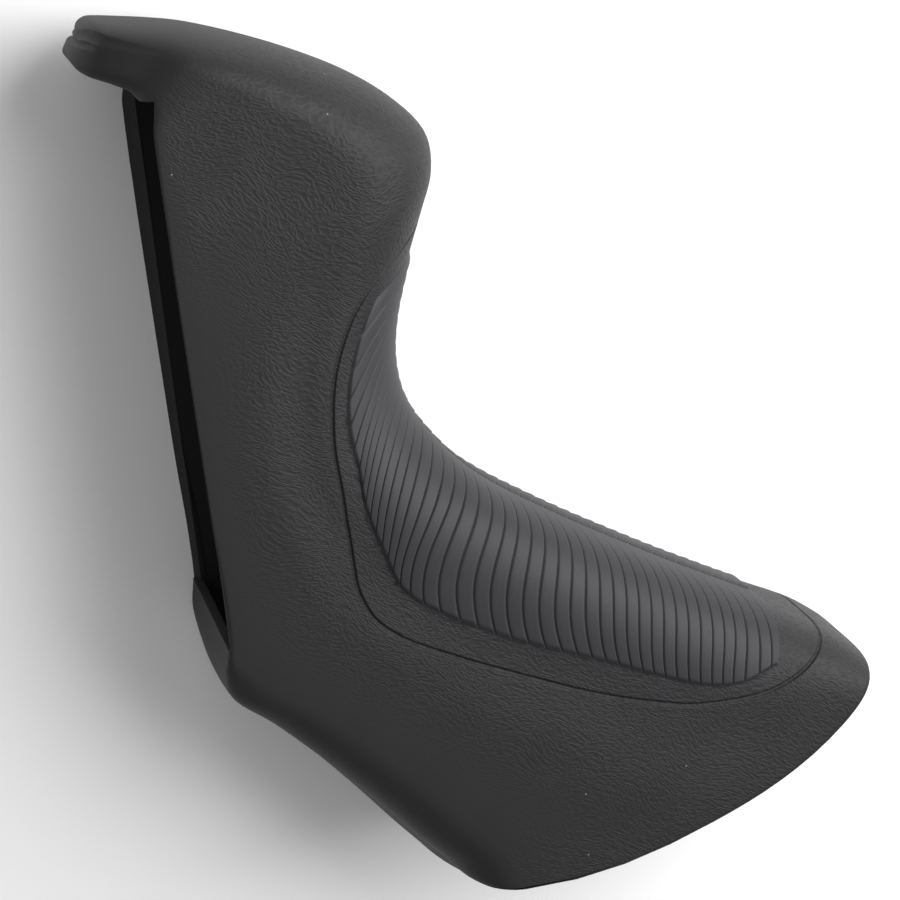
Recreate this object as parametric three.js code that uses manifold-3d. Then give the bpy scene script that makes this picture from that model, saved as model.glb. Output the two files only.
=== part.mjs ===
import * as THREE from 'three';
import { mergeVertices } from 'three/addons/utils/BufferGeometryUtils.js';
import Module from 'manifold-3d';

// Rubber hood of a road brake lever, millimetres. It lies on one side panel:
// +X runs rearwards along the palm rest, +Y is up on the bicycle, +Z is sideways.

// Side profile: where the ridge (top line) and the keel (front and underside line) stand
// at each station of the loft, from the tip of the visor to the open rear end.
const stations = [
  { ridge: [-70.9, 28.5], keel: [-70.9, 28.3] },
  { ridge: [-70.5, 30.6], keel: [-70.5, 26.7] },
  { ridge: [-69.7, 31.8], keel: [-69.5, 25.9] },
  { ridge: [-68.2, 32.5], keel: [-67.8, 25.8] },
  { ridge: [-65.5, 33.6], keel: [-65.2, 26.2] },
  { ridge: [-62.0, 35.0], keel: [-62.6, 26.3] },
  { ridge: [-57.5, 36.5], keel: [-60.6, 24.9] },
  { ridge: [-51.3, 37.9], keel: [-58.9, 22.4] },
  { ridge: [-44.3, 39.0], keel: [-57.0, 19.3] },
  { ridge: [-37.0, 39.5], keel: [-54.9, 15.9] },
  { ridge: [-30.4, 38.9], keel: [-52.7, 12.5] },
  { ridge: [-24.9, 37.0], keel: [-50.5, 8.9] },
  { ridge: [-22.1, 33.1], keel: [-48.2, 5.2] },
  { ridge: [-21.1, 28.3], keel: [-45.8, 1.4] },
  { ridge: [-20.3, 23.5], keel: [-43.2, -2.6] },
  { ridge: [-19.4, 18.6], keel: [-40.5, -6.8] },
  { ridge: [-18.2, 13.9], keel: [-37.7, -11.1] },
  { ridge: [-16.3, 9.3], keel: [-34.9, -15.5] },
  { ridge: [-13.5, 5.3], keel: [-31.8, -20.0] },
  { ridge: [-10.1, 2.4], keel: [-28.3, -24.7] },
  { ridge: [-6.6, 0.5], keel: [-25.3, -29.2] },
  { ridge: [-2.6, -1.1], keel: [-22.7, -33.6] },
  { ridge: [1.5, -2.2], keel: [-21.2, -37.7] },
  { ridge: [6.6, -2.9], keel: [-18.6, -40.8] },
  { ridge: [12.3, -3.2], keel: [-12.4, -42.4] },
  { ridge: [18.7, -3.4], keel: [-5.9, -44.4] },
  { ridge: [26.0, -3.4], keel: [0.6, -46.6] },
  { ridge: [33.7, -3.3], keel: [6.7, -48.8] },
  { ridge: [41.4, -3.0], keel: [12.0, -50.8] },
  { ridge: [49.0, -2.7], keel: [16.4, -52.3] },
  { ridge: [56.8, -2.4], keel: [19.6, -53.3] },
  { ridge: [62.6, -3.0], keel: [21.8, -53.2] },
];
const lastStation = stations.length - 1;

// Section shape, as [station, value] keys.
const halfWidthKeys = [
  [0, 0.4], [1, 4.6], [2, 7.8], [3, 10.2], [4, 11.8], [5, 13.2],
  [6, 15.6], [7, 16.4], [8, 16.5], [31, 16.5],
];
const capDepthKeys = [
  [0, 0.1], [1, 1.2], [3, 2.2], [5, 3.6], [7, 7], [10, 12],
  [13, 15], [19, 15.5], [23, 17], [28, 16], [31, 8],
];
const capPowerKeys = [[0, 2.2], [3, 2.8], [6, 2.6], [10, 2.3], [19, 2.4], [23, 3.7], [28, 3.7], [31, 4.5]];
const bendDepthKeys = [
  [0, 0.1], [2, 1], [4, 2], [6, 2.2], [7, 0.8],
  [21.2, 0.8], [22.6, 4.5], [24, 6], [29, 7.5], [31, 5],
];
const bendInKeys = [
  [0, 0.1], [2, 1], [4, 1.8], [6, 1.8], [7, 0.8],
  [21.2, 0.8], [22.6, 3], [24, 5], [27, 7], [29, 7.5], [31, 5.5],
];
const panelInsetKeys = [[0, 0], [12, 0], [15, 0.55], [29, 0.55], [31, 0.3]];
const bellyKeys = [[0, 0], [21, 0], [24, 1], [28, 2], [31, 2.4]];

const wall = 2;
const lipWallKeys = [[0, 1.7], [8, 1.7], [18, 1.2], [22, 1.6], [25, 2], [31, 2]];
const rearBulge = 8.4;
const rearBulgeStart = 19;
const rearBulgeLean = 0.92;
const cavityStart = 5.7;

// Front window, from under the visor down to the chin. It is as wide as the hood, so each side wall
// ends in a sharp edge with a chamfer behind it that is deep at the top and shallow at the foot.
const windowTop = [-61.3, 26.2];
const windowFoot = [-22.4, -33.6];
const windowFlare = 0.3;
const windowReach = 6;
const windowLip = 0.2;
const chamferAtTop = 1.9;
const chamferAtFoot = 0.6;

// Outline groove of the grip panel, as [station, around] keys from ridge to ridge.
const rearMargin = 1.2;
const panelRear = lastStation - rearMargin;
const panelOutline = [
  [13.1, 0], [13.2, 0.2], [13.45, 0.42], [13.9, 0.64], [14.6, 0.78], [15.8, 0.84], [17.2, 0.86],
  [18.6, 0.91], [19.8, 1.0], [20.9, 1.12], [21.8, 1.2], [22.7, 1.27], [23.6, 1.28], [24.4, 1.23],
  [25.6, 1.14], [26.8, 1.06], [27.9, 0.97], [28.6, 0.88], [panelRear - 0.7, 0.79],
  [panelRear - 0.4, 0.66], [panelRear - 0.2, 0.5], [panelRear - 0.08, 0.34],
  [panelRear, 0.16], [panelRear, 0],
];
const grooveRadius = 0.3;

// Ribbed field inside the panel: station of a rib on the ridge, station of its outer end,
// and the around value of the field's edge at that outer station.
const ribEndKeys = [
  [13.9, 14.0], [14.5, 15.6], [16, 18.2], [18, 20.6], [20, 22.5], [22, 24.2], [24, 25.8], [26, 27.3],
  [27.5, 28.4], [28.9, 29.0],
];
const fieldEdgeKeys = [
  [14.0, 0.42], [14.6, 0.66], [15.6, 0.73], [17, 0.77], [18.6, 0.8], [19.8, 0.88], [21.4, 0.96], [23, 1.04],
  [24.4, 1.0], [26.5, 0.88], [28, 0.82], [28.6, 0.76], [29.05, 0.62],
];
const ribPitch = 1.95;
const ribHeight = 0.4;
const ribStart = 14.05;
const borderRear = 0.9;
const ribFinish = panelRear - borderRear;
const spineHeight = 0.4;
const padDepth = 0.9;

// Visor lip: a short sharp groove over the lower bead and a shallow channel above it. Both rise
// out of the skin towards their ends, where the lift reaches the radius.
const visorGroove = { around: 1.3, radius: 0.55, lift: 0, from: 2.6 };
const visorChannel = { around: 0.86, radius: 1.7, lift: 1.3, from: 5.4 };
const visorTip = 0.4;

const rubber = new THREE.MeshStandardMaterial({ color: 0x2c2c2e, roughness: 0.72, metalness: 0 });

// Smooth curve through evenly numbered values.
function throughValues(values, position) {
  const last = values.length - 1;
  const index = Math.min(Math.floor(position), last - 1);
  const t = position - index;
  const at = (k) => {
    if (k < 0) return 2 * values[0] - values[1];
    if (k > last) return 2 * values[last] - values[last - 1];
    return values[k];
  };
  const [a, b, c, d] = [at(index - 1), at(index), at(index + 1), at(index + 2)];
  const bend = 2 * a - 5 * b + 4 * c - d;
  const twist = 3 * b - a - 3 * c + d;
  return 0.5 * (2 * b + (c - a) * t + bend * t * t + twist * t * t * t);
}

// Eased value between the keys on both sides of a position.
function throughKeys(keys, position) {
  let k = 0;
  while (k < keys.length - 2 && position > keys[k + 1][0]) k += 1;
  const [x0, y0] = keys[k];
  const [x1, y1] = keys[k + 1];
  const slopeAt = (i) => {
    if (i <= 0 || i >= keys.length - 1) return 0;
    const before = (keys[i][1] - keys[i - 1][1]) / (keys[i][0] - keys[i - 1][0]);
    const after = (keys[i + 1][1] - keys[i][1]) / (keys[i + 1][0] - keys[i][0]);
    return before * after <= 0 ? 0 : (2 * before * after) / (before + after);
  };
  const span = x1 - x0;
  const t = Math.min(Math.max((position - x0) / span, 0), 1);
  const h00 = (1 + 2 * t) * (1 - t) * (1 - t);
  const h10 = t * (1 - t) * (1 - t);
  const h01 = t * t * (3 - 2 * t);
  const h11 = t * t * (t - 1);
  return h00 * y0 + h10 * span * slopeAt(k) + h01 * y1 + h11 * span * slopeAt(k + 1);
}

const ridgeX = stations.map((s) => s.ridge[0]);
const ridgeY = stations.map((s) => s.ridge[1]);
const keelX = stations.map((s) => s.keel[0]);
const keelY = stations.map((s) => s.keel[1]);

// Point of the skin. The around value runs 0..1 over the rounded cap from the ridge, 1..2 down the
// flat flank, 2..3 round the bend and 3..4 across the front or underside to the keel.
function skinPoint(station, around, inset = 0) {
  const ridge = new THREE.Vector2(throughValues(ridgeX, station), throughValues(ridgeY, station));
  const keel = new THREE.Vector2(throughValues(keelX, station), throughValues(keelY, station));
  const along = keel.clone().sub(ridge);
  const fullLength = along.length();
  along.divideScalar(fullLength);
  const part = inset / wall;
  const top = 1.15 * inset;
  const bottom = part * throughKeys(lipWallKeys, station);
  const length = fullLength - top - bottom;
  const halfWidth = throughKeys(halfWidthKeys, station) - inset;
  const capDepth = Math.min(throughKeys(capDepthKeys, station), 0.6 * fullLength) - 0.8 * top;
  const bendDepth = Math.min(throughKeys(bendDepthKeys, station), 0.35 * fullLength) * (1 - 0.25 * part);
  const bendIn = throughKeys(bendInKeys, station) * (1 - 0.25 * part);
  const belly = throughKeys(bellyKeys, station);
  const panelInset = throughKeys(panelInsetKeys, station);
  let s;
  let z;
  if (around <= 1) {
    const power = throughKeys(capPowerKeys, station);
    const angle = (around * Math.PI) / 2;
    const radius = (Math.cos(angle) ** power + Math.sin(angle) ** power) ** (-1 / power);
    s = capDepth * (1 - radius * Math.cos(angle));
    z = (halfWidth - panelInset) * radius * Math.sin(angle);
  } else if (around <= 2) {
    s = THREE.MathUtils.lerp(capDepth, length - belly - bendDepth, around - 1);
    z = halfWidth - panelInset * (1 - THREE.MathUtils.smoothstep(around, 1, 1.45));
  } else if (around <= 3) {
    const angle = ((around - 2) * Math.PI) / 2;
    s = length - belly - bendDepth + bendDepth * Math.sin(angle);
    z = halfWidth - bendIn + bendIn * Math.cos(angle);
  } else {
    const across = 4 - around;
    s = length - belly * across * across;
    z = (halfWidth - bendIn) * across;
  }
  const t = THREE.MathUtils.clamp((s + top) / fullLength, 0, 1);
  const blend = Math.max(0, (station - rearBulgeStart) / (lastStation - rearBulgeStart)) ** 1.5;
  const bulge = rearBulge * blend * (1 - Math.abs(2 * t ** rearBulgeLean - 1) ** 2.5);
  return new THREE.Vector3(
    ridge.x + along.x * (s + top) - along.y * bulge,
    ridge.y + along.y * (s + top) + along.x * bulge,
    z,
  );
}

// Closed skin over rings of points; both ends are closed by fans.
function skinOverRings(rings) {
  const count = rings[0].length;
  const positions = [];
  const indices = [];
  rings.forEach((ring) => ring.forEach((p) => positions.push(p.x, p.y, p.z)));
  for (let r = 0; r < rings.length - 1; r += 1) {
    for (let k = 0; k < count; k += 1) {
      const a = r * count + k;
      const b = r * count + ((k + 1) % count);
      indices.push(a, b, a + count, b, b + count, a + count);
    }
  }
  [0, rings.length - 1].forEach((r) => {
    const centre = new THREE.Vector3();
    rings[r].forEach((p) => centre.add(p));
    centre.divideScalar(count);
    const c = positions.length / 3;
    positions.push(centre.x, centre.y, centre.z);
    for (let k = 0; k < count; k += 1) {
      const a = r * count + k;
      const b = r * count + ((k + 1) % count);
      if (r === 0) indices.push(b, a, c);
      else indices.push(a, b, c);
    }
  });
  const geometry = new THREE.BufferGeometry();
  geometry.setAttribute('position', new THREE.Float32BufferAttribute(positions, 3));
  geometry.setIndex(indices);
  return geometry;
}

function ringAt(station, aroundValues, inset) {
  const left = aroundValues.map((around) => skinPoint(station, around, inset));
  const right = left.slice(1, -1).reverse().map((p) => new THREE.Vector3(p.x, p.y, -p.z));
  return [...left, ...right];
}

function steps(from, to, count) {
  return Array.from({ length: count + 1 }, (_, k) => from + ((to - from) * k) / count);
}

const aroundFine = [...steps(0, 1, 9), 1.12, 1.24, 1.36, 1.45, 1.72, ...steps(2, 3, 4), 3.35, 3.7, 4];
const aroundCoarse = [...steps(0, 1, 6), 1.22, 1.45, ...steps(2, 3, 3), ...steps(3, 4, 2).slice(1)];

function skinNormal(station, around) {
  const e = 0.02;
  const behind = skinPoint(Math.max(station - e, 0), around);
  const forward = skinPoint(Math.min(station + e, lastStation), around).sub(behind);
  const sideways = skinPoint(station, around + e).sub(skinPoint(station, Math.max(around - e, 0)));
  return sideways.cross(forward).normalize();
}

function mirrored(p) {
  return new THREE.Vector3(p.x, p.y, -p.z);
}

function mirroredItem({ point, normal, lift }) {
  return { point: mirrored(point), normal: mirrored(normal), lift };
}

// Tube whose rings follow a path over the skin, as { point, normal, lift } items.
function tubeRings(path, radius, closed) {
  const sides = 6;
  return path.map(({ point, normal, lift }, i) => {
    const before = path[closed ? (i + path.length - 1) % path.length : Math.max(i - 1, 0)].point;
    const after = path[closed ? (i + 1) % path.length : Math.min(i + 1, path.length - 1)].point;
    const tangent = after.clone().sub(before).normalize();
    const across = normal.clone().cross(tangent).normalize();
    const up = tangent.clone().cross(across).normalize();
    const centre = point.clone().addScaledVector(normal, lift);
    return Array.from({ length: sides }, (_, k) => {
      const angle = (2 * Math.PI * k) / sides;
      const side = centre.clone().addScaledVector(across, radius * Math.cos(angle));
      return side.addScaledVector(up, radius * Math.sin(angle));
    });
  });
}

// Skin over rings that run round a closed loop.
function skinOverLoop(rings) {
  const count = rings[0].length;
  const positions = [];
  const indices = [];
  rings.forEach((ring) => ring.forEach((p) => positions.push(p.x, p.y, p.z)));
  for (let r = 0; r < rings.length; r += 1) {
    const next = (r + 1) % rings.length;
    for (let k = 0; k < count; k += 1) {
      const k1 = (k + 1) % count;
      const a = r * count + k;
      const b = r * count + k1;
      const c = next * count + k;
      const d = next * count + k1;
      indices.push(a, b, c, b, d, c);
    }
  }
  const geometry = new THREE.BufferGeometry();
  geometry.setAttribute('position', new THREE.Float32BufferAttribute(positions, 3));
  geometry.setIndex(indices);
  return geometry;
}

// Outer body, with closer stations over the visor and at the rear rim.
const visorStations = steps(0, 10, 17);
const rearStations = steps(panelRear, lastStation, 4);
const outerStations = [...visorStations, ...steps(10, panelRear, 27).slice(1), ...rearStations.slice(1)];
const outerRings = outerStations.map((s) => ringAt(s, aroundFine, 0));
const outer = skinOverRings(outerRings);

// Cavity for the lever body, carried on past the rear rim.
const rearOut = new THREE.Vector3(0.75, -0.66, 0);
const rearReach = 8;
const cavityRings = steps(cavityStart, lastStation, 24).map((s) => ringAt(s, aroundCoarse, wall));
const rearRing = cavityRings[cavityRings.length - 1];
cavityRings.push(rearRing.map((p) => p.clone().addScaledVector(rearOut, rearReach)));
const cavity = skinOverRings(cavityRings);

// Window cutter: its section narrows inwards over the chamfer and then runs straight.
function windowCutter() {
  const top = new THREE.Vector2(...windowTop);
  const foot = new THREE.Vector2(...windowFoot);
  const down = foot.clone().sub(top).normalize();
  const inward = new THREE.Vector2(-down.y, down.x);
  const flank = halfWidthKeys[halfWidthKeys.length - 1][1];
  const wide = flank + windowFlare;
  const narrow = flank - wall - windowLip;
  const rings = [[top, chamferAtTop], [foot, chamferAtFoot]].map(([end, chamfer]) => {
    const section = [[narrow, windowReach], [narrow, chamfer], [wide, -windowFlare], [wide, -windowReach]];
    const far = [...section].reverse().map(([z, depth]) => [-z, depth]);
    return [...section, ...far].map(([z, depth]) => {
      const place = end.clone().addScaledVector(inward, depth);
      return new THREE.Vector3(place.x, place.y, z);
    });
  });
  return skinOverRings(rings);
}

// Groove round the grip panel, near side and far side in one loop.
function panelGroove() {
  const stationValues = panelOutline.map((p) => p[0]);
  const aroundValues = panelOutline.map((p) => p[1]);
  const last = panelOutline.length - 1;
  const near = steps(0, last, 44).map((position) => {
    const station = throughValues(stationValues, position);
    const around = Math.max(throughValues(aroundValues, position), 0);
    return { point: skinPoint(station, around), normal: skinNormal(station, around), lift: 0 };
  });
  const far = near.slice(1, -1).reverse().map(mirroredItem);
  return skinOverLoop(tubeRings([...near, ...far], grooveRadius, true));
}

// Visor groove or channel, from one side round the tip to the other.
function visorCut({ around, radius, lift, from }) {
  const near = steps(from, visorTip, 14).map((station) => {
    const rise = ((station - visorTip) / (from - visorTip)) ** 3;
    return {
      point: skinPoint(station, around),
      normal: skinNormal(station, around),
      lift: lift + (1.02 * radius - lift) * rise,
    };
  });
  const far = [...near].reverse().map(mirroredItem);
  return skinOverRings(tubeRings([...near, ...far], radius, false));
}

// Ridge stations one rib pitch apart.
function ribStations() {
  const found = [ribStart];
  let travelled = 0;
  let previous = skinPoint(ribStart, 0);
  for (let station = ribStart; station < ribFinish; station += 0.01) {
    const point = skinPoint(station, 0);
    travelled += point.distanceTo(previous);
    previous = point;
    if (travelled >= ribPitch) {
      found.push(station);
      travelled = 0;
    }
  }
  return found;
}

// Point of the ribbed field: a rib starts on the ridge and runs down to the field's edge.
function fieldPoint(ridgeStation, v, height) {
  const endStation = throughKeys(ribEndKeys, ridgeStation);
  const station = ridgeStation + (endStation - ridgeStation) * v ** 2.4;
  const around = throughKeys(fieldEdgeKeys, endStation) * v;
  return skinPoint(station, around).addScaledVector(skinNormal(station, around), height);
}

// Height of the ribbed surface over the plain skin: a raised spine line, low overlapping ribs,
// and a fade to just under the skin at the field's edge.
function ribSurface(ridgeStation, v, rise) {
  const fadeIn = THREE.MathUtils.smoothstep(v, 0.04, 0.1);
  const fadeOut = 1 - THREE.MathUtils.smoothstep(v, 0.94, 1);
  const start = THREE.MathUtils.smoothstep(ridgeStation, ribStart, ribStart + 0.4);
  const finish = 1 - THREE.MathUtils.smoothstep(ridgeStation, ribFinish - 0.15, ribFinish);
  const spine = spineHeight * (1 - THREE.MathUtils.smoothstep(v, 0, 0.05));
  const shown = fadeOut * start * finish;
  return (0.08 + spine + ribHeight * rise * fadeIn) * shown - 0.1 * (1 - shown);
}

// Rings across the field from the far edge over the ridge to the near edge: upper points, then lower.
function fieldRings(rows, columns, upper, lower) {
  const rings = rows.map(({ station, rise }) => {
    const half = columns.map((v) => ({
      top: fieldPoint(station, v, upper(station, v, rise)),
      foot: fieldPoint(station, v, lower),
    }));
    const far = half.slice(1).reverse().map((p) => ({ top: mirrored(p.top), foot: mirrored(p.foot) }));
    const row = [...far, ...half];
    return [...row.map((p) => p.top), ...row.map((p) => p.foot).reverse()];
  });
  return { rings, width: 2 * columns.length - 1 };
}

function ribRows() {
  const ribs = ribStations();
  const rows = [];
  ribs.forEach((station, i) => {
    if (i > 0) rows.push({ station: station - 0.12 * (station - ribs[i - 1]), rise: 1 });
    rows.push({ station, rise: 0 });
  });
  return rows;
}

// Closed solid between an upper and a lower sheet, given as rings of upper points then lower points.
function skinOverSheets({ rings, width }) {
  const positions = [];
  const indices = [];
  const count = 2 * width;
  rings.forEach((ring) => ring.forEach((p) => positions.push(p.x, p.y, p.z)));
  for (let r = 0; r < rings.length - 1; r += 1) {
    for (let k = 0; k < count; k += 1) {
      const a = r * count + k;
      const b = r * count + ((k + 1) % count);
      indices.push(a, b, a + count, b, b + count, a + count);
    }
  }
  [0, rings.length - 1].forEach((r) => {
    for (let k = 0; k < width - 1; k += 1) {
      const a = r * count + k;
      const b = a + 1;
      const c = r * count + count - 1 - k;
      const d = c - 1;
      if (r === 0) indices.push(b, a, c, b, c, d);
      else indices.push(a, b, c, b, d, c);
    }
  });
  const geometry = new THREE.BufferGeometry();
  geometry.setAttribute('position', new THREE.Float32BufferAttribute(positions, 3));
  geometry.setIndex(indices);
  return geometry;
}

// Joining and cutting of closed solids.
const wasm = await Module();
wasm.setup();

function toSolid(geometry) {
  const bare = geometry.clone();
  bare.deleteAttribute('normal');
  bare.deleteAttribute('uv');
  const welded = mergeVertices(bare, 1e-5);
  const solid = new wasm.Manifold(new wasm.Mesh({
    numProp: 3,
    vertProperties: new Float32Array(welded.attributes.position.array),
    triVerts: new Uint32Array(welded.index.array),
  }));
  if (solid.volume() < 0) throw new Error('a solid is inside out');
  return solid;
}

function toGeometry(solid) {
  const data = solid.getMesh();
  const geometry = new THREE.BufferGeometry();
  geometry.setAttribute('position', new THREE.Float32BufferAttribute(data.vertProperties, 3));
  geometry.setIndex(new THREE.BufferAttribute(data.triVerts, 1));
  geometry.computeVertexNormals();
  return geometry;
}

const rows = ribRows();
const fieldColumns = [0, 0.045, 0.1, 0.28, 0.48, 0.72, 0.93, 1];
const pad = skinOverSheets(fieldRings(rows, fieldColumns, ribSurface, -padDepth));
const pocketRows = rows.filter((row, i) => i % 4 === 1);
const pocket = skinOverSheets(fieldRings(pocketRows, steps(0, 0.9, 4), () => 1.2, -0.5 * padDepth));

const hood = toSolid(outer)
  .subtract(toSolid(pocket))
  .subtract(toSolid(panelGroove()))
  .subtract(toSolid(visorCut(visorGroove)))
  .subtract(toSolid(visorCut(visorChannel)))
  .add(toSolid(pad))
  .subtract(toSolid(cavity))
  .subtract(toSolid(windowCutter()));

const hoodGeometry = toGeometry(hood);
hoodGeometry.computeBoundingBox();
const box = hoodGeometry.boundingBox;
hoodGeometry.translate(-(box.min.x + box.max.x) / 2, -(box.min.y + box.max.y) / 2, -box.min.z);

const group = new THREE.Group();
group.name = 'brake_lever_hood';
const mesh = new THREE.Mesh(hoodGeometry, rubber);
mesh.name = 'lever_hood';
group.add(mesh);

export default group;
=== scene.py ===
import math
import bpy
import numpy as np
from mathutils import Matrix, Vector
from mathutils.kdtree import KDTree


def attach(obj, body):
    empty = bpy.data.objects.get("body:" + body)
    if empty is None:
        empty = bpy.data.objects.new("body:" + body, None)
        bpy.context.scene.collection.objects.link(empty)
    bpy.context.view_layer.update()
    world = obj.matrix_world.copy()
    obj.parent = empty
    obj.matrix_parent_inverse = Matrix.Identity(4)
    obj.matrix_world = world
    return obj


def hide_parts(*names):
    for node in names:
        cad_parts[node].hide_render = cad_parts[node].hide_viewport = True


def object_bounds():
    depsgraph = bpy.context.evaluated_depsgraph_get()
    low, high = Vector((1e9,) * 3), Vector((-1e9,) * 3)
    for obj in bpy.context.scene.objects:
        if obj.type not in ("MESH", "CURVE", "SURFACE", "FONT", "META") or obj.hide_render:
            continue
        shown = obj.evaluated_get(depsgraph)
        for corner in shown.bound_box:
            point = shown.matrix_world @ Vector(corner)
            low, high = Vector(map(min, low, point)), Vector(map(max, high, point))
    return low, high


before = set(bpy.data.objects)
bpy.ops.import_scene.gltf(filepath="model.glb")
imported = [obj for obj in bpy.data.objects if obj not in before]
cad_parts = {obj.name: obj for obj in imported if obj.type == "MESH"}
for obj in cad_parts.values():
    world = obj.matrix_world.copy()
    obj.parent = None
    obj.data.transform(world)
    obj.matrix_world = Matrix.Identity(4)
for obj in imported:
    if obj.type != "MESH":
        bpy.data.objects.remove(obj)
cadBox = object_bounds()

mm = 0.001

# The hood's side profile: ridge line and keel line through the same stations, in mm of the drawing.
profile = {
    "ridge": [(-70.9, 28.5), (-70.5, 30.6), (-69.7, 31.8), (-68.2, 32.5), (-65.5, 33.6), (-62.0, 35.0),
              (-57.5, 36.5), (-51.3, 37.9), (-44.3, 39.0), (-37.0, 39.5), (-30.4, 38.9), (-24.9, 37.0),
              (-22.1, 33.1), (-21.1, 28.3), (-20.3, 23.5), (-19.4, 18.6), (-18.2, 13.9), (-16.3, 9.3),
              (-13.5, 5.3), (-10.1, 2.4), (-6.6, 0.5), (-2.6, -1.1), (1.5, -2.2), (6.6, -2.9),
              (12.3, -3.2), (18.7, -3.4), (26.0, -3.4), (33.7, -3.3), (41.4, -3.0), (49.0, -2.7),
              (56.8, -2.4), (62.6, -3.0)],
    "keel": [(-70.9, 28.3), (-70.5, 26.7), (-69.5, 25.9), (-67.8, 25.8), (-65.2, 26.2), (-62.6, 26.3),
             (-60.6, 24.9), (-58.9, 22.4), (-57.0, 19.3), (-54.9, 15.9), (-52.7, 12.5), (-50.5, 8.9),
             (-48.2, 5.2), (-45.8, 1.4), (-43.2, -2.6), (-40.5, -6.8), (-37.7, -11.1), (-34.9, -15.5),
             (-31.8, -20.0), (-28.3, -24.7), (-25.3, -29.2), (-22.7, -33.6), (-21.2, -37.7), (-18.6, -40.8),
             (-12.4, -42.4), (-5.9, -44.4), (0.6, -46.6), (6.7, -48.8), (12.0, -50.8), (16.4, -52.3),
             (19.6, -53.3), (21.8, -53.2)],
    "halfWidth": [[0, 0.4], [1, 4.6], [2, 7.8], [3, 10.2], [4, 11.8], [5, 13.2], [6, 15.6], [7, 16.4], [8, 16.5],
                  [31, 16.5]],
    "capDepth": [[0, 0.1], [1, 1.2], [3, 2.2], [5, 3.6], [7, 7], [10, 12], [13, 15], [19, 15.5], [23, 17],
                 [28, 16], [31, 8]],
    "capPower": [[0, 2.2], [3, 2.8], [6, 2.6], [10, 2.3], [19, 2.4], [23, 3.7], [28, 3.7], [31, 4.5]],
    "bendDepth": [[0, 0.1], [2, 1], [4, 2], [6, 2.2], [7, 0.8], [21.2, 0.8], [22.6, 4.5], [24, 6], [29, 7.5],
                  [31, 5]],
    "bendIn": [[0, 0.1], [2, 1], [4, 1.8], [6, 1.8], [7, 0.8], [21.2, 0.8], [22.6, 3], [24, 5], [27, 7],
               [29, 7.5], [31, 5.5]],
    "panelInset": [[0, 0], [12, 0], [15, 0.55], [29, 0.55], [31, 0.3]],
    "belly": [[0, 0], [21, 0], [24, 1], [28, 2], [31, 2.4]],
    "lipWall": [[0, 1.7], [8, 1.7], [18, 1.2], [22, 1.6], [25, 2], [31, 2]],
    "wall": 2.0,
    "rearBulge": 8.4,
    "rearBulgeStart": 19,
    "rearBulgeLean": 0.92,
    "rimRound": 0.7,
    "cavityStart": 5.7,
    "rearOut": (0.75, -0.66, 0),
    "rearReach": 8,
}
lastStation = len(profile["ridge"]) - 1
ridge = np.array(profile["ridge"])
keel = np.array(profile["keel"])


def throughPoints(points, position):
    # smooth curve through evenly numbered points
    position = np.asarray(position, float)
    last = len(points) - 1
    index = np.clip(np.floor(position).astype(int), 0, last - 1)
    t = (position - index)[..., None]
    ends = np.concatenate([[2 * points[0] - points[1]], points, [2 * points[-1] - points[-2]]])
    a, b, c, d = ends[index], ends[index + 1], ends[index + 2], ends[index + 3]
    return 0.5 * (2 * b + (c - a) * t + (2 * a - 5 * b + 4 * c - d) * t**2 + (3 * b - a - 3 * c + d) * t**3)


def throughKeys(keys, position):
    # eased value between keys, never past them
    keys = np.array(keys, float)
    x, y = keys[:, 0], keys[:, 1]
    rise = np.diff(y) / np.diff(x)
    slope = np.zeros(len(x))
    before, after = rise[:-1], rise[1:]
    same = before * after > 0
    slope[1:-1][same] = 2 * before[same] * after[same] / (before[same] + after[same])
    position = np.asarray(position, float)
    k = np.clip(np.searchsorted(x, position, side="left") - 1, 0, len(x) - 2)
    span = x[k + 1] - x[k]
    t = np.clip((position - x[k]) / span, 0, 1)
    return ((1 + 2 * t) * (1 - t)**2 * y[k] + t * (1 - t)**2 * span * slope[k]
            + t * t * (3 - 2 * t) * y[k + 1] + t * t * (t - 1) * span * slope[k + 1])


def smoothStep(x, low, high):
    t = np.clip((x - low) / (high - low), 0, 1)
    return t * t * (3 - 2 * t)


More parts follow.
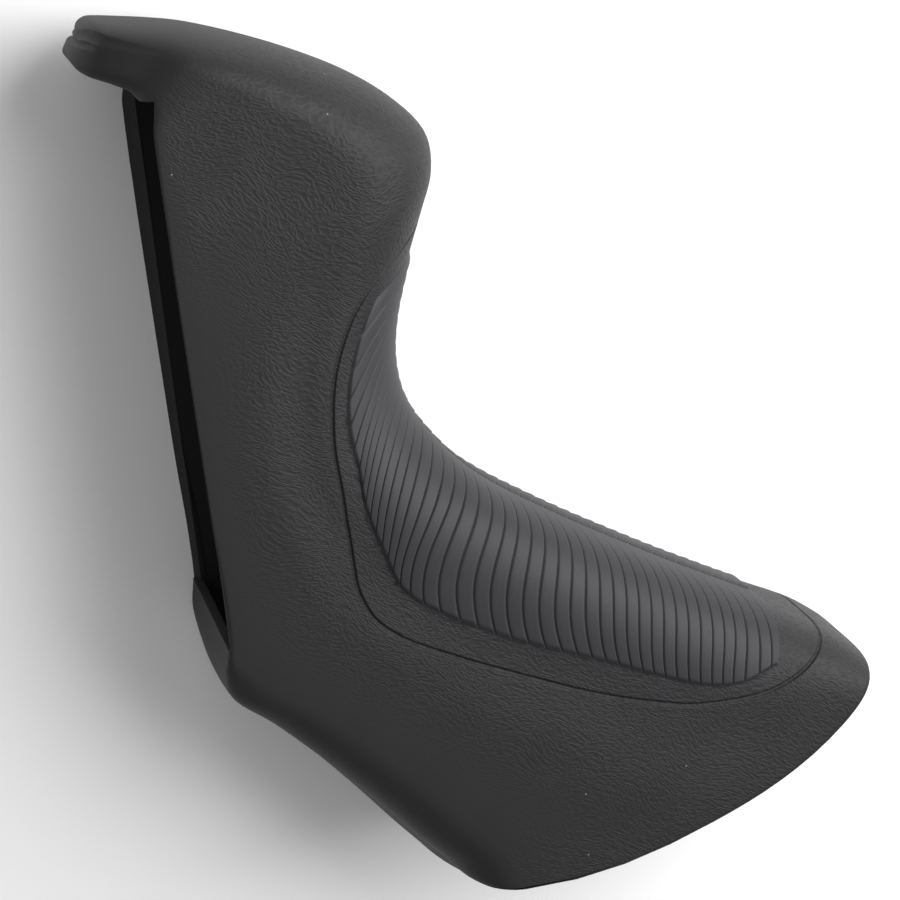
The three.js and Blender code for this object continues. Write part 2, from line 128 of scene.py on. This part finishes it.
def skinPoint(station, around, inset=0.0):
    # around: 0..1 rounded cap from the ridge, 1..2 flank, 2..3 bend, 3..4 front face or underside
    station, around = np.broadcast_arrays(np.asarray(station, float), np.asarray(around, float))
    top = throughPoints(ridge, station)
    along = throughPoints(keel, station) - top
    fullLength = np.linalg.norm(along, axis=-1)
    along = along / fullLength[..., None]
    part = inset / profile["wall"]
    lift = 1.15 * inset
    length = fullLength - lift - part * throughKeys(profile["lipWall"], station)
    halfWidth = throughKeys(profile["halfWidth"], station) - inset
    capDepth = np.minimum(throughKeys(profile["capDepth"], station), 0.6 * fullLength) - 0.8 * lift
    bendDepth = np.minimum(throughKeys(profile["bendDepth"], station), 0.35 * fullLength) * (1 - 0.25 * part)
    bendIn = throughKeys(profile["bendIn"], station) * (1 - 0.25 * part)
    belly = throughKeys(profile["belly"], station)
    panelInset = throughKeys(profile["panelInset"], station)
    power = throughKeys(profile["capPower"], station)
    capAngle = np.clip(around, 0, 1) * np.pi / 2
    radius = (np.cos(capAngle)**power + np.sin(capAngle)**power)**(-1 / power)
    bendAngle = (np.clip(around, 2, 3) - 2) * np.pi / 2
    across = 4 - around
    flankEnd = length - belly - bendDepth
    zones = [around <= 1, around <= 2, around <= 3]
    s = np.select(zones, [capDepth * (1 - radius * np.cos(capAngle)),
                          capDepth + (flankEnd - capDepth) * (around - 1),
                          flankEnd + bendDepth * np.sin(bendAngle)],
                  length - belly * across**2)
    z = np.select(zones, [(halfWidth - panelInset) * radius * np.sin(capAngle),
                          halfWidth - panelInset * (1 - smoothStep(around, 1, 1.45)),
                          halfWidth - bendIn + bendIn * np.cos(bendAngle)],
                  (halfWidth - bendIn) * across)
    t = np.clip((s + lift) / fullLength, 0, 1)
    start = profile["rearBulgeStart"]
    blend = np.clip((station - start) / (lastStation - start), 0, None)**1.5
    bulge = profile["rearBulge"] * blend * (1 - np.abs(2 * t**profile["rearBulgeLean"] - 1)**2.5)
    x = top[..., 0] + along[..., 0] * (s + lift) - along[..., 1] * bulge
    y = top[..., 1] + along[..., 1] * (s + lift) + along[..., 0] * bulge
    return np.stack([x, y, z], -1)


def skinNormal(station, around):
    e = 0.02
    ahead = np.clip(station + e, 0, lastStation)
    behind = np.clip(station - e, 0, lastStation)
    forward = skinPoint(ahead, around) - skinPoint(behind, around)
    sideways = skinPoint(station, around + e) - skinPoint(station, np.maximum(around - e, 0))
    normal = np.cross(sideways, forward)
    return normal / np.linalg.norm(normal, axis=-1)[..., None]


def mirrored(points):
    return points * np.array([1, 1, -1])


def bothSides(half):
    # half rings run ridge to keel; the far side comes back from keel to ridge
    return np.concatenate([half, mirrored(half[:, -2:0:-1])], axis=1)


# The drawing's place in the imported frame: same tip, same crown, middle plane at half height.
def drawingOffset():
    low, high = cadBox
    tip = skinPoint(np.linspace(0, 6, 200)[:, None], np.linspace(0, 4, 80))[..., 0].min()
    crown = skinPoint(np.linspace(6, 12, 300), 0.0)[..., 1].max()
    return np.array([low[0] / mm - tip, high[1] / mm - crown, (low[2] + high[2]) / 2 / mm])


offset = drawingOffset()
print("drawing placed at", offset.round(3))


def meshObject(name, points, faces):
    mesh = bpy.data.meshes.new(name)
    mesh.from_pydata(((np.asarray(points).reshape(-1, 3) + offset) * mm).tolist(), [], faces)
    mesh.validate()
    piece = bpy.data.objects.new(name, mesh)
    bpy.context.scene.collection.objects.link(piece)
    return piece


def gridFaces(rows, columns, closedRows=False):
    faces = []
    for r in range(rows if closedRows else rows - 1):
        n = (r + 1) % rows
        for k in range(columns):
            j = (k + 1) % columns
            faces.append((r * columns + k, r * columns + j, n * columns + j, n * columns + k))
    return faces


def closedSkin(name, rings):
    rows, columns = rings.shape[:2]
    points = np.concatenate([rings.reshape(-1, 3), [rings[0].mean(0)], [rings[-1].mean(0)]])
    faces = gridFaces(rows, columns)
    first, last = rows * columns, rows * columns + 1
    for k in range(columns):
        j = (k + 1) % columns
        faces.append((j, k, first))
        faces.append(((rows - 1) * columns + k, (rows - 1) * columns + j, last))
    return meshObject(name, points, faces)


def tubeRings(points, normals, radius, lift, closed, sides=12):
    if closed:
        tangents = np.roll(points, -1, 0) - np.roll(points, 1, 0)
    else:
        tangents = np.gradient(points, axis=0)
    tangents /= np.linalg.norm(tangents, axis=1)[:, None]
    across = np.cross(normals, tangents)
    across /= np.linalg.norm(across, axis=1)[:, None]
    up = np.cross(tangents, across)
    angle = np.linspace(0, 2 * np.pi, sides, endpoint=False)[None, :, None]
    centre = (points + normals * lift)[:, None]
    return centre + radius * (across[:, None] * np.cos(angle) + up[:, None] * np.sin(angle))


# Outer skin with its rear rim rolled over, and the cavity that the lever body fills.
def outerSkin():
    around = np.concatenate([np.linspace(0, 1, 27), np.linspace(1, 1.45, 9)[1:], np.linspace(1.45, 2, 5)[1:],
                             2 + np.linspace(0, 1, 15)[1:]**0.8, np.linspace(3, 4, 9)[1:]])
    stations = np.concatenate([np.linspace(0, 1, 14)**1.4, np.linspace(1, 7, 44)[1:],
                               np.linspace(7, lastStation, 128)[1:]])
    rings = bothSides(skinPoint(stations[:, None], around[None]))
    out = rings[-1] - rings[-2]
    out /= np.linalg.norm(out, axis=1)[:, None]
    r = profile["rimRound"]
    roll = []
    for angle in np.radians([22, 45, 68, 90]):
        rearStation = np.full((1, 1), float(lastStation))
        inner = bothSides(skinPoint(rearStation, around[None], r * (1 - math.cos(angle))))[0]
        roll.append(inner + out * r * (math.sin(angle) - 1))
    base = rings[-1] - out * r
    return closedSkin("skin", np.concatenate([rings[:-1], [base], roll]))


def cavitySkin():
    around = np.concatenate([np.linspace(0, 1, 15), np.linspace(1, 1.45, 4)[1:], [1.7],
                             np.linspace(2, 3, 8), np.linspace(3, 4, 4)[1:]])
    stations = np.linspace(profile["cavityStart"], lastStation, 90)
    rings = bothSides(skinPoint(stations[:, None], around[None], profile["wall"]))
    out = np.array(profile["rearOut"]) * profile["rearReach"]
    return closedSkin("cavity", np.concatenate([rings, [rings[-1] + out]]))


# Front window under the visor: full width, its side walls chamfered inwards.
window = {"top": (-61.3, 26.2), "foot": (-22.4, -33.6), "flare": 0.3, "reach": 6.0, "lip": 0.2,
          "chamferAtTop": 1.9, "chamferAtFoot": 0.6}


def windowCutter():
    top, foot = np.array(window["top"]), np.array(window["foot"])
    down = (foot - top) / np.linalg.norm(foot - top)
    inward = np.array([-down[1], down[0]])
    wide = profile["halfWidth"][-1][1] + window["flare"]
    narrow = profile["halfWidth"][-1][1] - profile["wall"] - window["lip"]
    rings = []
    for end, chamfer in ((top, window["chamferAtTop"]), (foot, window["chamferAtFoot"])):
        section = [(narrow, window["reach"]), (narrow, chamfer),
                   (wide, -window["flare"]), (wide, -window["reach"])]
        section += [(-z, depth) for z, depth in reversed(section)]
        rings.append([(*(end + depth * inward), z) for z, depth in section])
    return closedSkin("window", np.array(rings))


# Grip panel: outline groove, border band, ribbed field and spine line.
grip = {
    "outline": [[13.1, 0], [13.2, 0.2], [13.45, 0.42], [13.9, 0.64], [14.6, 0.78], [15.8, 0.84], [17.2, 0.86],
                [18.6, 0.91], [19.8, 1.0], [20.9, 1.12], [21.8, 1.2], [22.7, 1.27], [23.6, 1.28], [24.4, 1.23],
                [25.6, 1.14], [26.8, 1.06], [27.9, 0.97], [28.6, 0.88], [29.1, 0.79], [29.4, 0.66],
                [29.6, 0.5], [29.72, 0.34], [29.8, 0.16], [29.8, 0]],
    "grooveRadius": 0.3,
    "ribEnds": [[13.9, 14.0], [14.5, 15.6], [16, 18.2], [18, 20.6], [20, 22.5], [22, 24.2], [24, 25.8],
                [26, 27.3], [27.5, 28.4], [28.9, 29.0]],
    "fieldEdge": [[14.0, 0.42], [14.6, 0.66], [15.6, 0.73], [17, 0.77], [18.6, 0.8], [19.8, 0.88],
                  [21.4, 0.96], [23, 1.04], [24.4, 1.0], [26.5, 0.88], [28, 0.82], [28.6, 0.76], [29.05, 0.62]],
    # one rib: part of the pitch and rise, a long smooth face, a rounded brow and a thin deep line
    "ribShape": [(0.06, 0.52), (0.14, 0.62), (0.4, 0.74), (0.66, 0.86), (0.82, 0.95), (0.88, 0.93), (0.93, 0.6),
                 (0.965, -0.05), (1.0, 0.0)],
    "ribPitch": 1.95,
    "ribHeight": 0.4,
    "ribStart": 14.05,
    "ribFinish": 28.9,
    "spineHeight": 0.32,
    "padDepth": 0.9,
    "padLift": 0.08,
    "pocketDepth": 0.5,
    "pocketTop": 1.2,
}
visor = {"tip": 0.4, "groove": (1.3, 0.55, 0, 2.6), "channel": (0.86, 1.7, 1.3, 5.4)}


def grooveTube():
    position = np.linspace(0, len(grip["outline"]) - 1, 230)
    curve = throughPoints(np.array(grip["outline"], float), position)
    station, around = curve[:, 0], np.maximum(curve[:, 1], 0)
    near, normals = skinPoint(station, around), skinNormal(station, around)
    points = np.concatenate([near, mirrored(near[-2:0:-1])])
    normals = np.concatenate([normals, mirrored(normals[-2:0:-1])])
    rings = tubeRings(points, normals, grip["grooveRadius"], 0, True)
    return meshObject("groove", rings, gridFaces(*rings.shape[:2], closedRows=True))


def visorTube(name, around, radius, lift, start):
    # rises out of the skin towards its ends
    tip = visor["tip"]
    station = np.linspace(start, tip, 44)
    near, normals = skinPoint(station, around), skinNormal(station, around)
    lifts = lift + (1.02 * radius - lift) * ((station - tip) / (start - tip))**3
    points = np.concatenate([near, mirrored(near[::-1])])
    normals = np.concatenate([normals, mirrored(normals[::-1])])
    lifts = np.concatenate([lifts, lifts[::-1]])[:, None]
    return closedSkin(name, tubeRings(points, normals, radius, lifts, False, 18))


def ribStations():
    fine = np.arange(grip["ribStart"], grip["ribFinish"], 0.01)
    points = skinPoint(fine, 0.0)
    travelled = np.concatenate([[0], np.cumsum(np.linalg.norm(np.diff(points, axis=0), axis=1))])
    count = int(travelled[-1] / grip["ribPitch"])
    return np.interp(np.arange(count + 1) * grip["ribPitch"], travelled, fine)


def fieldPoint(ridgeStation, v, height):
    outer = throughKeys(grip["ribEnds"], ridgeStation)
    station = ridgeStation + (outer - ridgeStation) * v**2.4
    around = throughKeys(grip["fieldEdge"], outer) * v
    return skinPoint(station, around) + skinNormal(station, around) * height[..., None]


def ribbedPad(name, rows, rises, columns, depth, flatTop=None):
    ridgeStation, v = np.broadcast_arrays(rows[:, None], columns[None])
    fadeIn = 0.5 + 0.5 * smoothStep(v, 0.04, 0.1)
    fadeOut = 1 - smoothStep(v, 0.97, 1)
    shown = (fadeOut * smoothStep(ridgeStation, grip["ribStart"], grip["ribStart"] + 0.4)
             * (1 - smoothStep(ridgeStation, grip["ribFinish"] - 0.15, grip["ribFinish"])))
    spine = grip["spineHeight"] * (1 - smoothStep(v, 0, 0.045))
    raised = grip["padLift"] + spine + grip["ribHeight"] * rises[:, None] * fadeIn
    height = raised * shown - 0.1 * (1 - shown)
    if flatTop is not None:
        height = np.full_like(height, flatTop)
    top = fieldPoint(ridgeStation, v, height)
    foot = fieldPoint(ridgeStation, v, np.full_like(height, -depth))
    rings = np.concatenate([mirrored(top[:, :0:-1]), top, foot[:, ::-1], mirrored(foot[:, 1:])], axis=1)
    width = 2 * len(columns) - 1
    count = 2 * width
    faces = gridFaces(len(rows), count)
    end = (len(rows) - 1) * count
    for k in range(width - 1):
        c = count - 1 - k
        faces.append((k + 1, k, c, c - 1))
        faces.append((end + k, end + k + 1, end + c - 1, end + c))
    return meshObject(name, rings, faces)


def ribRows():
    ribs = ribStations()
    rows, rises = [ribs[0]], [0.0]
    for before, after in zip(ribs[:-1], ribs[1:]):
        for part, rise in grip["ribShape"]:
            rows.append(before + part * (after - before))
            rises.append(rise)
    return np.array(rows), np.array(rises)


def joinSolids(base, tools):
    for tool, operation in tools:
        step = base.modifiers.new(tool.name, "BOOLEAN")
        step.object = tool
        step.operation = operation
        step.solver = "MANIFOLD"
        step.material_mode = "TRANSFER"
    graph = bpy.context.evaluated_depsgraph_get()
    mesh = bpy.data.meshes.new_from_object(base.evaluated_get(graph))
    base.modifiers.clear()
    base.data = mesh
    for tool, _ in tools:
        bpy.data.objects.remove(tool)
    return base


# sRGB hex to the linear values that the shader sockets take.
def linear(hexColour):
    values = [int(hexColour[i:i + 2], 16) / 255 for i in (1, 3, 5)]
    return [v / 12.92 if v <= 0.04045 else ((v + 0.055) / 1.055)**2.4 for v in values] + [1.0]


def addNode(tree, kind, settings=None, inputs=None):
    node = tree.nodes.new(kind)
    for name, value in (settings or {}).items():
        setattr(node, name, value)
    for name, value in (inputs or {}).items():
        if isinstance(value, bpy.types.NodeSocket):
            tree.links.new(value, node.inputs[name])
        else:
            node.inputs[name].default_value = value
    return node


def newMaterial(name):
    material = bpy.data.materials.new(name)
    material.use_nodes = True
    tree = material.node_tree
    tree.nodes.clear()
    return material, tree


# Moulded rubber from a leather-etched tool: fine wrinkles under a soft matte sheen.
# The wrinkles are drawn at about 0.4 mm, a little coarser than the real ones, so that they show.
grainRubber = {
    "low": "#1a1a1c", "high": "#202022", "dust": "#9a9a98", "roughness": 0.6, "ior": 1.5,
    "specular": 0.36, "wrinkle": 0.36, "wrinkleDepth": 0.036, "pore": 0.2, "poreDepth": 0.01, "edgeRound": 0.3,
    "drift": 14, "driftBy": 9, "speckCell": 3.6, "toneSize": 9,
}


def grainedRubber():
    material, tree = newMaterial("mouldedRubberLeatherGrain")
    g = grainRubber
    place = addNode(tree, "ShaderNodeTexCoord").outputs["Object"]
    # slow drift turns the wrinkle direction from place to place
    drift = addNode(tree, "ShaderNodeTexNoise", inputs={
        "Vector": place, "Scale": 1 / (g["drift"] * mm), "Detail": 1.0})
    bent = addNode(tree, "ShaderNodeVectorMath", {"operation": "MULTIPLY_ADD"},
                   {0: drift.outputs["Color"], 1: (g["driftBy"] * mm,) * 3, 2: place})
    stretched = addNode(tree, "ShaderNodeMapping", inputs={
        "Vector": bent.outputs[0], "Rotation": (0, 0, 0.75), "Scale": (1.0, 2.6, 1.3)})
    wrinkles = addNode(tree, "ShaderNodeTexNoise", {"noise_type": "RIDGED_MULTIFRACTAL"},
                       {"Vector": stretched.outputs[0], "Scale": 0.32 / (g["wrinkle"] * mm), "Detail": 2.0,
                        "Roughness": 0.6, "Lacunarity": 2.0, "Offset": 0.9, "Gain": 1.4})
    pores = addNode(tree, "ShaderNodeTexNoise", inputs={
        "Vector": place, "Scale": 1 / (g["pore"] * mm), "Detail": 2.0})
    grain = addNode(tree, "ShaderNodeAttribute", {"attribute_name": "grain"}).outputs["Fac"]
    worn = addNode(tree, "ShaderNodeMath", {"operation": "MULTIPLY"}, {0: wrinkles.outputs[0], 1: grain})
    rounded = addNode(tree, "ShaderNodeBevel", {"samples": 6}, {"Radius": g["edgeRound"] * mm})
    fine = addNode(tree, "ShaderNodeBump", inputs={
        "Height": pores.outputs[0], "Distance": g["poreDepth"] * mm, "Normal": rounded.outputs[0]})
    bump = addNode(tree, "ShaderNodeBump", inputs={
        "Height": worn.outputs[0], "Distance": g["wrinkleDepth"] * mm, "Normal": fine.outputs[0]})
    # a few bright dust specks, one to a cell and only in some cells
    specks = addNode(tree, "ShaderNodeTexVoronoi", inputs={"Vector": place, "Scale": 1 / (g["speckCell"] * mm)})
    speck = addNode(tree, "ShaderNodeMapRange", inputs={
        "Value": specks.outputs["Distance"], "From Min": 0.02, "From Max": 0.035, "To Min": 0.75, "To Max": 0.0})
    cellValue = addNode(tree, "ShaderNodeSeparateColor", inputs={"Color": specks.outputs["Color"]})
    chosen = addNode(tree, "ShaderNodeMath", {"operation": "GREATER_THAN"},
                     {0: cellValue.outputs["Red"], 1: 0.6})
    dust = addNode(tree, "ShaderNodeMath", {"operation": "MULTIPLY"},
                   {0: speck.outputs[0], 1: chosen.outputs[0]})
    tone = addNode(tree, "ShaderNodeTexNoise", inputs={
        "Vector": place, "Scale": 1 / (g["toneSize"] * mm), "Detail": 3.0})
    base = addNode(tree, "ShaderNodeMix", {"data_type": "RGBA"},
                   {"Factor": tone.outputs[0], "A": linear(g["low"]), "B": linear(g["high"])})
    colour = addNode(tree, "ShaderNodeMix", {"data_type": "RGBA"},
                     {"Factor": dust.outputs[0], "A": base.outputs["Result"], "B": linear(g["dust"])})
    roughness = addNode(tree, "ShaderNodeMapRange", inputs={
        "Value": worn.outputs[0], "To Min": g["roughness"] + 0.06, "To Max": g["roughness"] - 0.06})
    shader = addNode(tree, "ShaderNodeBsdfPrincipled", inputs={
        "Base Color": colour.outputs["Result"], "Roughness": roughness.outputs[0], "IOR": g["ior"],
        "Specular IOR Level": g["specular"], "Normal": bump.outputs[0]})
    addNode(tree, "ShaderNodeOutputMaterial", inputs={"Surface": shader.outputs[0]})
    return material


# Same rubber against a polished part of the tool: smooth satin ribs, with the colour set lighter than the
# grained rubber as painted light on the ribs.
ribRubberPaintedLight = {
    "low": "#28282b", "high": "#303033", "roughness": 0.54, "ior": 1.5, "specular": 0.36,
    "pore": 0.35, "poreDepth": 0.01, "toneSize": 6,
}


def satinRubberPaintedLight():
    material, tree = newMaterial("mouldedRubberSatinRibsPaintedLight")
    g = ribRubberPaintedLight
    place = addNode(tree, "ShaderNodeTexCoord").outputs["Object"]
    pores = addNode(tree, "ShaderNodeTexNoise", inputs={
        "Vector": place, "Scale": 1 / (g["pore"] * mm), "Detail": 2.0})
    bump = addNode(tree, "ShaderNodeBump", inputs={
        "Height": pores.outputs["Fac"], "Distance": g["poreDepth"] * mm})
    tone = addNode(tree, "ShaderNodeTexNoise", inputs={
        "Vector": place, "Scale": 1 / (g["toneSize"] * mm), "Detail": 3.0})
    # painted light: both tones are lighter than the grained rubber of the same compound, standing in for the
    # light on the ribs
    colour = addNode(tree, "ShaderNodeMix", {"data_type": "RGBA"},
                     {"Factor": tone.outputs["Fac"], "A": linear(g["low"]), "B": linear(g["high"])})
    roughness = addNode(tree, "ShaderNodeMapRange", inputs={
        "Value": tone.outputs["Fac"], "To Min": g["roughness"] - 0.05, "To Max": g["roughness"] + 0.07})
    shader = addNode(tree, "ShaderNodeBsdfPrincipled", inputs={
        "Base Color": colour.outputs["Result"], "Roughness": roughness.outputs[0], "IOR": g["ior"],
        "Specular IOR Level": g["specular"], "Normal": bump.outputs[0]})
    addNode(tree, "ShaderNodeOutputMaterial", inputs={"Surface": shader.outputs[0]})
    return material


# Inside of the cover: the same compound off a plain core, flat, with its colour set darker than the outside as
# painted shade for the deep hollow.
paintedShadeCoreRubber = {"low": "#0b0b0c", "high": "#101011", "roughness": 0.8, "pore": 0.8, "poreDepth": 0.03}


def paintedShadeRubber():
    material, tree = newMaterial("mouldedRubberCorePaintedShade")
    g = paintedShadeCoreRubber
    place = addNode(tree, "ShaderNodeTexCoord").outputs["Object"]
    noise = addNode(tree, "ShaderNodeTexNoise", inputs={
        "Vector": place, "Scale": 1 / (g["pore"] * mm), "Detail": 4.0})
    bump = addNode(tree, "ShaderNodeBump", inputs={
        "Height": noise.outputs["Fac"], "Distance": g["poreDepth"] * mm})
    # painted shade: both tones are far darker than the outer rubber, standing in for the shade inside the cover
    colour = addNode(tree, "ShaderNodeMix", {"data_type": "RGBA"},
                     {"Factor": noise.outputs["Fac"], "A": linear(g["low"]), "B": linear(g["high"])})
    shader = addNode(tree, "ShaderNodeBsdfPrincipled", inputs={
        "Base Color": colour.outputs["Result"], "Roughness": g["roughness"], "Normal": bump.outputs[0]})
    addNode(tree, "ShaderNodeOutputMaterial", inputs={"Surface": shader.outputs[0]})
    return material


# The hood: one skin, with the ribbed pad let into a pocket and the hollow, window and grooves cut out.
# satin carries painted light in its lighter colour; plain carries painted shade in its darker colour
grained, satin, plain = grainedRubber(), satinRubberPaintedLight(), paintedShadeRubber()
print("rubber materials made")
hood = outerSkin()
hood.name = "hoodCover"
rows, rises = ribRows()
columns = np.concatenate([[0, 0.02, 0.04, 0.06, 0.08, 0.1], np.linspace(0.1, 0.94, 30)[1:],
                          [0.96, 0.97, 0.98, 0.99, 1]])
pocketRows = np.linspace(ribStations()[1], ribStations()[-2], 40)
pocket = ribbedPad("pocket", pocketRows, np.zeros(len(pocketRows)), np.linspace(0, 0.93, 20),
                   grip["pocketDepth"], grip["pocketTop"])
tools = [
    (pocket, "DIFFERENCE"),
    (grooveTube(), "DIFFERENCE"),
    (visorTube("visorGroove", *visor["groove"]), "DIFFERENCE"),
    (visorTube("visorChannel", *visor["channel"]), "DIFFERENCE"),
    (ribbedPad("pad", rows, rises, columns, grip["padDepth"]), "UNION"),
    (cavitySkin(), "DIFFERENCE"),
    (windowCutter(), "DIFFERENCE"),
]
hood.data.materials.append(grained)
for tool, _ in tools:
    # the cavity walls take the core rubber, whose dark colour is painted shade
    tool.data.materials.append({"pad": satin, "cavity": plain}.get(tool.name, grained))
joinSolids(hood, tools)
print("hood joined:", len(hood.data.vertices), "points", len(hood.data.polygons), "faces",
      [m.name for m in hood.data.materials])


def grainStrength(station, around):
    # the tool is etched over the horn, along the grip panel and at the rear tip, and plain low on the sides
    horn = 1 - smoothStep(station, 9.5, 13.5)
    rear = smoothStep(station, 27.5, 30.5)
    nearPanel = 1 - smoothStep(around, 1.42, 1.85)
    belowVisor = smoothStep(station, 4.5, 8.0) * (0.35 + 0.65 * smoothStep(around, 0.3, 0.9))
    low = 1 - smoothStep(around, 1.9, 2.1)
    etched = np.maximum(np.maximum(horn * belowVisor * low, rear * low), nearPanel * smoothStep(station, 6, 9))
    return etched * 0.88 + 0.12


def markGrain(piece):
    # each vertex takes the mean of the nearest known places on the near side
    station, around = np.meshgrid(np.linspace(0, lastStation, 156), np.linspace(0, 4, 61), indexing="ij")
    places = (skinPoint(station, around).reshape(-1, 3) + offset) * mm
    strength = grainStrength(station, around).ravel()
    centre = offset[2] * mm
    tree = KDTree(len(places))
    for k, place in enumerate(places):
        tree.insert(place, k)
    tree.balance()
    values = np.empty(len(piece.data.vertices), dtype=np.float32)
    for k, vertex in enumerate(piece.data.vertices):
        x, y, z = vertex.co
        nearest = tree.find_n((x, y, centre + abs(z - centre)), 3)
        values[k] = np.mean([strength[found[1]] for found in nearest])
    piece.data.attributes.new("grain", "FLOAT", "POINT").data.foreach_set("value", values)


markGrain(hood)
hood.data.set_sharp_from_angle(angle=math.radians(50))
for face in hood.data.polygons:
    face.use_smooth = True
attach(hood, "root")
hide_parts("lever_hood")

# Camera: close product view from the rider's left, a little to the front and above.
view = {
    "distance": 380.0, "toFront": 13.5, "toTop": 15.0, "roll": 26.0, "frameWidth": 121.5, "shiftX": -15 / 900,
}


def placeCamera():
    roll, a, e = (math.radians(view[k]) for k in ("roll", "toFront", "toTop"))
    right0 = Vector((math.cos(roll), math.sin(roll), 0))
    up0 = Vector((-math.sin(roll), math.cos(roll), 0))
    level = Vector((0, 0, 1)) * math.cos(a) * math.cos(e) - right0 * math.sin(a) * math.cos(e)
    back = level + up0 * math.sin(e)
    right = up0.cross(back).normalized()
    up = back.cross(right)
    camera = bpy.data.cameras.new("photoView")
    camera.sensor_width = 36.0
    camera.lens = 36.0 * view["distance"] / view["frameWidth"]
    camera.shift_x = view["shiftX"]
    camera.clip_start = 0.01
    holder = bpy.data.objects.new("photoView", camera)
    place = (Vector(offset) + back * view["distance"]) * mm
    holder.matrix_world = Matrix((
        (right.x, up.x, back.x, place.x), (right.y, up.y, back.y, place.y),
        (right.z, up.z, back.z, place.z), (0, 0, 0, 1)))
    bpy.context.scene.collection.objects.link(holder)
    bpy.context.scene.camera = holder
    return right, up, back


right, up, back = placeCamera()

# Studio: pale floor, bright surround and two large soft lights.
studio = {
    "floor": "#ffffff", "floorSize": 3.0, "surround": 0.34,
    "key": {"power": 2.1, "size": 0.36, "distance": 0.36}, "fill": {"power": 0.5, "size": 0.6, "distance": 0.8},
}


def softLight(name, direction, lamp):
    light = bpy.data.lights.new(name, "AREA")
    light.energy = lamp["power"]
    light.size = lamp["size"]
    holder = bpy.data.objects.new(name, light)
    target = Vector(offset) * mm
    holder.location = target + direction.normalized() * lamp["distance"]
    holder.rotation_euler = (-direction).to_track_quat("-Z", "Y").to_euler()
    bpy.context.scene.collection.objects.link(holder)


def layFloor():
    size = studio["floorSize"]
    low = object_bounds()[0][2]
    corners = [(-size, -size, low), (size, -size, low), (size, size, low), (-size, size, low)]
    mesh = bpy.data.meshes.new("floor")
    mesh.from_pydata(corners, [], [(0, 1, 2, 3)])
    floor = bpy.data.objects.new("floor", mesh)
    bpy.context.scene.collection.objects.link(floor)
    material, tree = newMaterial("paleFloor")
    shader = addNode(tree, "ShaderNodeBsdfPrincipled", inputs={
        "Base Color": linear(studio["floor"]), "Roughness": 0.9})
    addNode(tree, "ShaderNodeOutputMaterial", inputs={"Surface": shader.outputs[0]})
    mesh.materials.append(material)


layFloor()
world = bpy.data.worlds.new("surround")
bpy.context.scene.world = world
world.use_nodes = True
background = world.node_tree.nodes["Background"]
background.inputs["Color"].default_value = (1, 1, 1, 1)
background.inputs["Strength"].default_value = studio["surround"]
softLight("keyLight", right * 1.0 + up * 0.3 + back * 0.85, studio["key"])
softLight("fillLight", back * 1.0 + up * 0.5 + right * -0.3, studio["fill"])
bpy.context.scene.view_settings.view_transform = "Standard"
print("camera, floor and lights placed")
